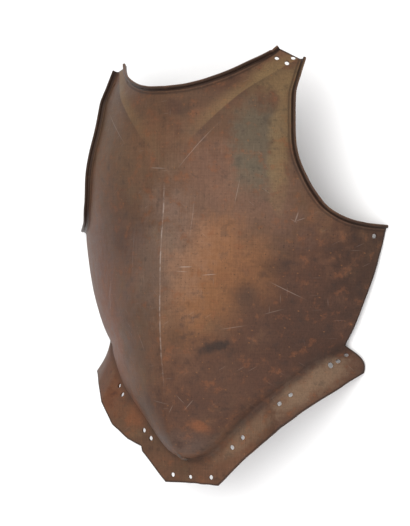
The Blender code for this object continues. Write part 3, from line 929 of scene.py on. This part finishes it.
# Stains on the front, and patches of painted shade and painted light: place on the plate, half
# sizes, turn in degrees, colour and strength.
#   stain            x       y       wide    tall    turn  colour       strength  soft
STAINS_AND_PAINTED_LIGHT = (
    ("plum_flank", 0.124, -0.052, 0.062, 0.088, 0, PLUM_BROWN, 0.92, 0.60),
    ("plum_edge", 0.165, -0.010, 0.024, 0.050, 0, RIM_BLACK_AND_SHADE, 0.50, 0.60),
    ("pink_breast", 0.055, 0.062, 0.062, 0.052, 0, PINK_BROWN, 0.45, 0.60),
    ("ochre_bloom", 0.040, -0.022, 0.031, 0.056, -14, OCHRE, 0.60, 0.60),
    ("ochre_upper", 0.060, 0.022, 0.028, 0.028, 20, OCHRE, 0.24, 0.60),
    # Painted sheen: a faint pale patch about the keel that lightens the region's tone.
    ("keel_painted_sheen", 0.000, 0.004, 0.040, 0.050, 0, BARE_IRON_AND_SHEEN, 0.10, 0.60),
    # Painted shade: a faint dark patch that darkens the belly's right.
    ("belly_right_painted_shade", 0.097, -0.092, 0.026, 0.024, 25, SOOT_AND_SHADE, 0.16, 0.60),
    ("green_stain", 0.086, 0.122, 0.019, 0.036, 0, GREEN_GREY, 0.68, 0.50),
    ("green_foot", 0.084, 0.084, 0.016, 0.016, 0, GREEN_GREY, 0.50, 0.60),
    ("flank_orange", -0.118, -0.040, 0.034, 0.085, 8, RUST_ORANGE, 0.62, 0.60),
    ("flank_shade", -0.128, -0.030, 0.030, 0.080, 6, PLUM_BROWN, 0.62, 0.60),
    ("flank_rust", -0.100, -0.064, 0.026, 0.060, 8, DEEP_RUST, 0.66, 0.60),
    # Partly rust colour, partly painted shade that darkens the region left of the neck.
    ("neck_left_rust_and_shade", -0.034, 0.140, 0.034, 0.034, 0, DEEP_RUST, 0.30, 0.60),
    ("neck_edge", 0.042, 0.166, 0.044, 0.011, 12, PLUM_BROWN, 0.60, 0.60),
    ("ochre_side", 0.088, -0.002, 0.013, 0.030, 0, OCHRE, 0.40, 0.60),
    # Painted shade: a dark patch on the lower right flank.
    ("low_flank_painted_shade", 0.118, -0.066, 0.028, 0.032, 0, RIM_BLACK_AND_SHADE, 0.28, 0.60),
    ("left_rust_skirt", -0.067, -0.145, 0.016, 0.016, 0, RUST_ORANGE, 0.55, 0.60),
    ("upper_olive", -0.060, 0.120, 0.060, 0.050, 0, OLIVE, 0.35, 0.60),
    ("left_rust", -0.075, 0.020, 0.040, 0.060, 0, PLUM_BROWN, 0.30, 0.60),
    ("golden_shoulder", 0.094, 0.184, 0.022, 0.016, 30, GOLDEN, 0.70, 0.50),
    ("golden_arm", 0.106, 0.128, 0.008, 0.055, 0, GOLDEN, 0.60, 0.50),
    ("neck_band", 0.002, 0.160, 0.050, 0.016, 0, DULL_BROWN, 0.70, 0.60),
    # Painted shade, blue-grey, on the belly's tip where it turns under.
    ("belly_tip_painted_shade", 0.010, -0.172, 0.024, 0.012, 0, BLUE_GREY, 0.45, 0.50),
    ("belly_shade", 0.058, -0.112, 0.056, 0.044, 25, PLUM_BROWN, 0.75, 0.60),
    ("belly_low", 0.008, -0.150, 0.040, 0.030, 0, PLUM_BROWN, 0.60, 0.60),
    ("soot_mark", 0.051, -0.0775, 0.0085, 0.0040, 18, SOOT_AND_SHADE, 0.85, 0.60),
    ("soot_low", 0.040, -0.083, 0.0060, 0.0030, 0, SOOT_AND_SHADE, 0.50, 0.70),
    ("soot_side", 0.099, -0.002, 0.013, 0.008, 10, SOOT_AND_SHADE, 0.38, 0.70),
    ("soot_mid", 0.076, -0.028, 0.010, 0.009, 0, SOOT_AND_SHADE, 0.35, 0.80),
    ("neck_spot", 0.022, 0.150, 0.009, 0.006, 0, SOOT_AND_SHADE, 0.38, 0.80),
    ("neck_rust", 0.008, 0.152, 0.008, 0.007, 0, PLUM_BROWN, 0.60, 0.60),
    ("keel_shade", 0.014, -0.066, 0.007, 0.024, 0, SOOT_AND_SHADE, 0.25, 0.80),
    ("low_ring", 0.0275, -0.156, 0.0070, 0.0060, 0, RUST_ORANGE, 0.60, 0.50),
    # Painted light: a pale patch that lightens the skirt's right end.
    ("skirt_end_painted_light", 0.119, -0.114, 0.036, 0.013, 41, PALE_BROWN, 0.60, 0.50),
    # Painted light: a pale patch that lightens the middle of the skirt.
    ("skirt_mid_painted_light", 0.058, -0.166, 0.036, 0.010, 36, PALE_BROWN, 0.42, 0.50),
    ("skirt_spot", -0.075, -0.196, 0.010, 0.010, 0, OLIVE, 0.40, 0.60),
)

# Scratches: place on the plate, half length, half width, turn in degrees, strength.
#   x        y       long     thin     turn  strength
SCRATCHES = (
    (0.0250, -0.0030, 0.0058, 0.00045, 2, 0.75),
    (0.0220, -0.0075, 0.0050, 0.00030, -3, 0.50),
    (0.0470, -0.0100, 0.0060, 0.00035, 6, 0.55),
    (-0.0090, 0.0930, 0.0080, 0.00035, -4, 0.60),
    (0.1180, 0.0470, 0.0045, 0.00040, 70, 0.45),
    (0.1210, 0.0450, 0.0036, 0.00032, 25, 0.38),
    (0.1155, 0.0435, 0.0026, 0.00032, -35, 0.30),
    (0.1080, -0.0230, 0.0130, 0.00028, -32, 0.50),
    (0.0220, -0.1360, 0.0060, 0.00028, 50, 0.35),
    (0.0150, -0.1300, 0.0050, 0.00026, -50, 0.28),
    (-0.0060, -0.1340, 0.0090, 0.00030, -8, 0.35),
    (0.0060, -0.1400, 0.0040, 0.00032, 62, 0.35),
    (-0.0900, -0.0330, 0.0110, 0.00030, 84, 0.55),
    (-0.0860, -0.0230, 0.0070, 0.00028, 80, 0.45),
    (0.0330, 0.1130, 0.0260, 0.00040, 48, 0.35),
    (-0.0750, 0.1370, 0.0220, 0.00040, -42, 0.35),
    (0.0720, 0.0700, 0.0110, 0.00028, 78, 0.35),
    (0.0300, 0.0450, 0.0180, 0.00028, 84, 0.30),
    (-0.0400, 0.0100, 0.0200, 0.00026, 88, 0.30),
    (0.0640, -0.0600, 0.0090, 0.00028, 12, 0.35),
    (0.0960, -0.0440, 0.0070, 0.00026, 20, 0.30),
    (-0.0300, -0.0750, 0.0100, 0.00028, -60, 0.35),
)


# Directions and cell of the fine scratches that are scattered over the front.
FINE_SCRATCH_TURNS = (1.50, 0.08, 0.62, -0.75)
FINE_SCRATCH_CELL = (0.170, 0.0090, 1.0)


class Wear:
    """Patterns that the plate's colour, shine and relief have in common."""

    def __init__(self, iron):
        self.mottle = iron.cloud((0.011, 0.011, 0.011), 5.0, 0.62)
        self.fine = iron.cloud((0.0022, 0.0022, 0.0022), 4.0, 0.7)
        self.grain_up = iron.cloud((0.0011, 0.045, 0.0011), 3.0, 0.6)
        self.grain_across = iron.cloud((0.035, 0.0013, 0.035), 3.0, 0.6)
        lumps = iron.cloud((0.024, 0.024, 0.024), 7.0, 0.62)
        self.ragged = (lumps - 0.5) * 2.0 + (self.mottle - 0.5) * 1.5
        self.across = iron.node("ShaderNodeSeparateXYZ", None, {0: iron.place}, out="X")
        self.upward = iron.node("ShaderNodeSeparateXYZ", None, {0: iron.place}, out="Y")


def brown_ground(iron):
    """The old brown oxide itself, in broad and in middling patches."""
    broad = iron.cloud((0.075, 0.075, 0.075), 3.0, 0.5)
    colour = iron.tint(DULL_BROWN, WARM_BROWN, iron.ramp(broad, 0.40, 0.60))
    colour = iron.tint(colour, BROWN, 0.35)
    blotch = iron.cloud((0.031, 0.038, 0.031), 6.0, 0.62, (0.31, 0.12, 0.0))
    colour = iron.tint(colour, PLUM_BROWN, iron.ramp(blotch, 0.52, 0.66) * 0.42)
    return iron.tint(colour, OLIVE, iron.ramp(blotch, 0.46, 0.32) * 0.38)


def stains_and_painted_light(iron, wear, colour):
    """A colour with the table's stains and its patches of painted shade and painted light laid over
    it.
    """
    for _, x, y, wide, tall, turn, stain, strength, soft in STAINS_AND_PAINTED_LIGHT:
        mask = iron.spot((x, y), (wide, tall), math.radians(turn), wear.ragged, soft)
        colour = iron.tint(colour, stain, mask * strength)
    return colour


def oxidised(iron, wear, colour):
    """Thin rust and dark oxide in the hammer marks, over the whole front."""
    colour = iron.tint(colour, RUST_ORANGE, iron.ramp(wear.mottle, 0.54, 0.70) * 0.34)
    return iron.tint(colour, SOOT_AND_SHADE, iron.ramp(wear.mottle, 0.46, 0.30) * 0.36)


def fold_light_and_shade(iron, wear, colour):
    """The folds up to the shoulders get a painted highlight above and painted shade below."""
    fold_from = FOLD_LEVEL * SHOULDER_RISE + TABLE_SHIFT
    beside = abs(wear.across) - (wear.upward - fold_from) * FOLD_SPREAD
    past_fold = beside * FOLD_LEAN + (wear.fine - 0.5) * 0.0012
    risen = iron.ramp(wear.upward, fold_from + 0.012, fold_from + 0.075)
    lit_side = iron.ramp(past_fold, -0.016, -0.0005) * iron.ramp(past_fold, 0.0006, -0.0006)
    # Painted highlight on the side above the fold line.
    colour = iron.tint(colour, GOLDEN, lit_side * risen * 0.55)
    dim_side = iron.ramp(past_fold, 0.010, 0.0005) * iron.ramp(past_fold, -0.0006, 0.0006)
    # Painted shade on the side below the fold line.
    return iron.tint(colour, SOOT_AND_SHADE, dim_side * risen * 0.26)


def grained(iron, wear, colour):
    """The grain left by old polishing, up and across."""
    hair = ((wear.grain_up - 0.5) * 0.46 + (wear.grain_across - 0.5) * 0.34
            + (wear.fine - 0.5) * 0.60)
    lit = iron.node("ShaderNodeCombineColor", None,
                    {0: 1.0 + hair, 1: 1.0 + hair, 2: 1.0 + hair})
    return iron.tint(colour, lit, 1.0, "MULTIPLY")


def pit_marks(iron, wear):
    """Small dark pits."""
    gap, chance = iron.dots((0.0036, 0.0036, 1.0))
    near = iron.ramp(gap + (wear.fine - 0.5) * 0.5, 0.14, 0.06)
    return near * iron.ramp(chance, 0.78, 0.92)


def rust_specks(iron, wear):
    """Scattered specks of orange rust."""
    gap, chance = iron.dots((0.0105, 0.0105, 1.0), 0.6)
    near = iron.ramp(gap + (wear.fine - 0.5) * 0.25, 0.075, 0.030)
    return near * iron.ramp(chance, 0.62, 0.75)


def scratch_marks(iron, wear):
    """The scratches of the table, and fine ones scattered over the front."""
    scored = 0.0
    for x, y, long, thin, turn, strength in SCRATCHES:
        mark = iron.spot((x, y), (long, thin), math.radians(turn), wear.ragged * 0.35, 0.45)
        scored = iron.maths("MAXIMUM", scored, mark * strength)
    for number, turn in enumerate(FINE_SCRATCH_TURNS):
        gap, chance = iron.dots(FINE_SCRATCH_CELL, turn, (0.013 * number, 0.0, 0.0))
        mark = iron.ramp(gap + wear.ragged * 0.008, 0.030, 0.006)
        mark = mark * iron.ramp(chance, 0.50, 0.80) * 0.30
        scored = iron.maths("MAXIMUM", scored, mark)
    return scored


def keel_wear_and_highlight(iron, wear):
    """Bare metal rubbed along the keel, together with a painted highlight on the ridge, broken here
    and there.
    """
    wander = (iron.cloud((0.012, 0.012, 0.012), 3.0, 0.6) - 0.5) * 0.0012
    line = iron.ramp(abs(wear.across + wander), 0.0011, 0.0003)
    ends = iron.ramp(wear.upward, 0.082, 0.055) * iron.ramp(wear.upward, -0.135, -0.060)
    broken = iron.ramp(iron.cloud((0.006, 0.006, 0.006), 4.0, 0.6), 0.40, 0.60)
    return line * ends * (0.35 + broken)


def blackened(iron, wear, colour, rim):
    """The rims nearly black with a line of painted shade at their root, and dark plain edges."""
    uneven = wear.mottle - 0.5
    # Painted shade along the rims' roots, where the lip turns up from the plate.
    root = iron.ramp(iron.gap("root_gap") + uneven * 0.0008, 0.0017, 0.0003)
    colour = iron.tint(colour, RIM_BLACK_AND_SHADE, root * 0.50)
    colour = iron.tint(colour, RIM_BLACK_AND_SHADE, rim * 0.85)
    rubbed = rim * iron.ramp(wear.mottle, 0.58, 0.74)
    colour = iron.tint(colour, BROWN, rubbed * 0.50)
    edge = iron.ramp(iron.gap("edge_gap") + uneven * 0.0010, 0.0020, 0.0005)
    return iron.tint(colour, SOOT_AND_SHADE, edge * 0.70)


def patina():
    """The front's old brown patina, with its stains, pits, scratches and worn edges, and painted
    light and shade at the folds, the keel, the rims' roots, the crease under the belly and in some
    broad patches.
    """
    iron = Finish("brown_patina_and_painted_light")
    wear = Wear(iron)
    pits = pit_marks(iron, wear)
    specks = rust_specks(iron, wear)
    scored = scratch_marks(iron, wear)
    # The keel's rubbed bare metal, partly a painted highlight on the ridge.
    keel = keel_wear_and_highlight(iron, wear)
    rim = iron.ramp(iron.gap("bead_gap"), 0.0034, 0.0024)
    # Painted shade in the crease under the belly; it also makes the crease rougher and less
    # metallic, as dirt.
    crease_dirt_and_shade = iron.ramp(iron.gap("groove_gap") + (wear.mottle - 0.5) * 0.0030, 0.0090, 0.0010)
    colour = stains_and_painted_light(iron, wear, brown_ground(iron))
    colour = oxidised(iron, wear, colour)
    colour = fold_light_and_shade(iron, wear, colour)
    colour = grained(iron, wear, colour)
    colour = iron.tint(colour, SOOT_AND_SHADE, pits * 0.55)
    colour = iron.tint(colour, OCHRE, specks * 0.45)
    colour = iron.tint(colour, BARE_IRON_AND_SHEEN, scored * 0.60)
    # Bare metal along the keel, partly a painted highlight on the ridge.
    colour = iron.tint(colour, BARE_IRON_AND_SHEEN, keel * 0.42)
    colour = blackened(iron, wear, colour, rim)
    # Painted shade in the crease under the belly.
    colour = iron.tint(colour, SOOT_AND_SHADE, crease_dirt_and_shade * 0.40)
    rough = 0.56 + (wear.mottle - 0.5) * 0.30 + (wear.fine - 0.5) * 0.22 + crease_dirt_and_shade * 0.15
    rough = rough - scored * 0.16 - keel * 0.16 - rim * 0.10
    metal = 0.26 + scored * 0.30 + keel * 0.30 + rim * 0.25 - crease_dirt_and_shade * 0.20
    relief = ((wear.mottle - 0.5) * 0.16 + (wear.fine - 0.5) * 0.060
              + (wear.grain_up - 0.5) * 0.030 + (wear.grain_across - 0.5) * 0.024
              - pits * 0.09 - scored * 0.030 + specks * 0.02)
    iron.lay(colour, rough, metal, relief)
    iron.shader.inputs["Specular IOR Level"].default_value = 0.16
    return iron.material


SCALE_BLACK = tone(62, 54, 49)
SCALE_BROWN = tone(92, 72, 58)
INSIDE_RUST = tone(122, 76, 48)


def forge_scale():
    """The unpolished inside: dark forge scale with hammer marks and dry rust."""
    inside = Finish("forge_scale")
    broad = inside.cloud((0.055, 0.055, 0.055), 5.0, 0.6)
    blows_gap = inside.dots((0.017, 0.017, 1.0))[0]
    mottle = inside.cloud((0.008, 0.008, 0.008), 6.0, 0.65)
    fine = inside.cloud((0.0018, 0.0018, 0.0018), 4.0, 0.7)
    rust = inside.ramp(mottle + (broad - 0.5) * 0.6, 0.52, 0.68)
    flakes = inside.ramp(mottle, 0.44, 0.34)
    edge = inside.ramp(inside.gap("edge_gap") + (mottle - 0.5) * 0.0020, 0.0040, 0.0005)
    colour = inside.tint(SCALE_BLACK, SCALE_BROWN, inside.ramp(broad, 0.35, 0.65))
    colour = inside.tint(colour, INSIDE_RUST, rust * 0.55)
    colour = inside.tint(colour, SCALE_BLACK, flakes * 0.60)
    colour = inside.tint(colour, SCALE_BLACK, edge * 0.70)
    rough = 0.66 + (mottle - 0.5) * 0.30 + (fine - 0.5) * 0.20
    metal = 0.30 - rust * 0.20
    relief = (inside.ramp(blows_gap, 0.0, 0.75) * 0.28 + (mottle - 0.5) * 0.30
              + (fine - 0.5) * 0.10 - flakes * 0.05)
    inside.lay(colour, rough, metal, relief)
    return inside.material


FLOOR_HALF = 6.0
PAPER_WHITE = (0.90, 0.90, 0.90, 1.0)


def lay_floor():
    """A wide sheet of white paper under the plate."""
    bm = bmesh.new()
    bmesh.ops.create_grid(bm, x_segments=1, y_segments=1, size=FLOOR_HALF)
    mesh = bpy.data.meshes.new("floor")
    bm.to_mesh(mesh)
    bm.free()
    floor = bpy.data.objects.new("floor", mesh)
    bpy.context.scene.collection.objects.link(floor)
    paper = Finish("white_paper")
    paper.shader.inputs["Base Color"].default_value = PAPER_WHITE
    paper.shader.inputs["Roughness"].default_value = 0.9
    paper.shader.inputs["Specular IOR Level"].default_value = 0.1
    mesh.materials.append(paper.material)
    return floor


# Where the camera stands and how it is turned to see the plate from the photo's angle.
CAMERA_AT = Vector((0.96998, -0.07738, 1.56950))
CAMERA_RIGHT = Vector((0.84423, 0.02613, -0.53535))
CAMERA_UP = Vector((0.00223, 0.99863, 0.05227))
CAMERA_BACK = Vector((0.53598, -0.04533, 0.84300))
CAMERA_LENS = 123.70


def place_camera():
    """The camera, with its lens in millimetres."""
    lens = bpy.data.cameras.new("camera")
    lens.sensor_width = 36.0
    lens.lens = CAMERA_LENS
    camera = bpy.data.objects.new("camera", lens)
    turn = Matrix((CAMERA_RIGHT, CAMERA_UP, CAMERA_BACK)).transposed()
    camera.matrix_world = Matrix.Translation(CAMERA_AT) @ turn.to_4x4()
    bpy.context.scene.collection.objects.link(camera)
    bpy.context.scene.camera = camera


LIGHT_DISTANCE = 2.2
LIGHT_SIZE = 2.6


def soft_light(name, toward, watts, tint):
    """A softbox that looks at the plate from one side."""
    lamp = bpy.data.lights.new(name, "AREA")
    lamp.shape = "SQUARE"
    lamp.size = LIGHT_SIZE
    lamp.energy = watts
    lamp.color = tint
    light = bpy.data.objects.new(name, lamp)
    way = Vector(toward).normalized()
    light.matrix_world = (Matrix.Translation(way * LIGHT_DISTANCE)
                          @ way.to_track_quat("Z", "Y").to_matrix().to_4x4())
    bpy.context.scene.collection.objects.link(light)


def light_all_round():
    """Even, nearly white light from every side of the studio."""
    world = bpy.data.worlds.new("studio")
    world.use_nodes = True
    background = world.node_tree.nodes["Background"]
    background.inputs["Color"].default_value = (0.98, 0.98, 1.0, 1.0)
    background.inputs["Strength"].default_value = 0.86
    bpy.context.scene.world = world


plate = make_plate((patina(), forge_scale()))
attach(plate, "root")
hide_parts("breastplate")
lay_floor()
place_camera()
soft_light("key", (0.12, 0.42, 1.0), 36.0, (1.0, 0.99, 0.96))
soft_light("fill", (0.7, -0.9, 0.9), 30.0, (1.0, 0.99, 0.98))
light_all_round()
bpy.context.scene.view_settings.view_transform = "Standard"
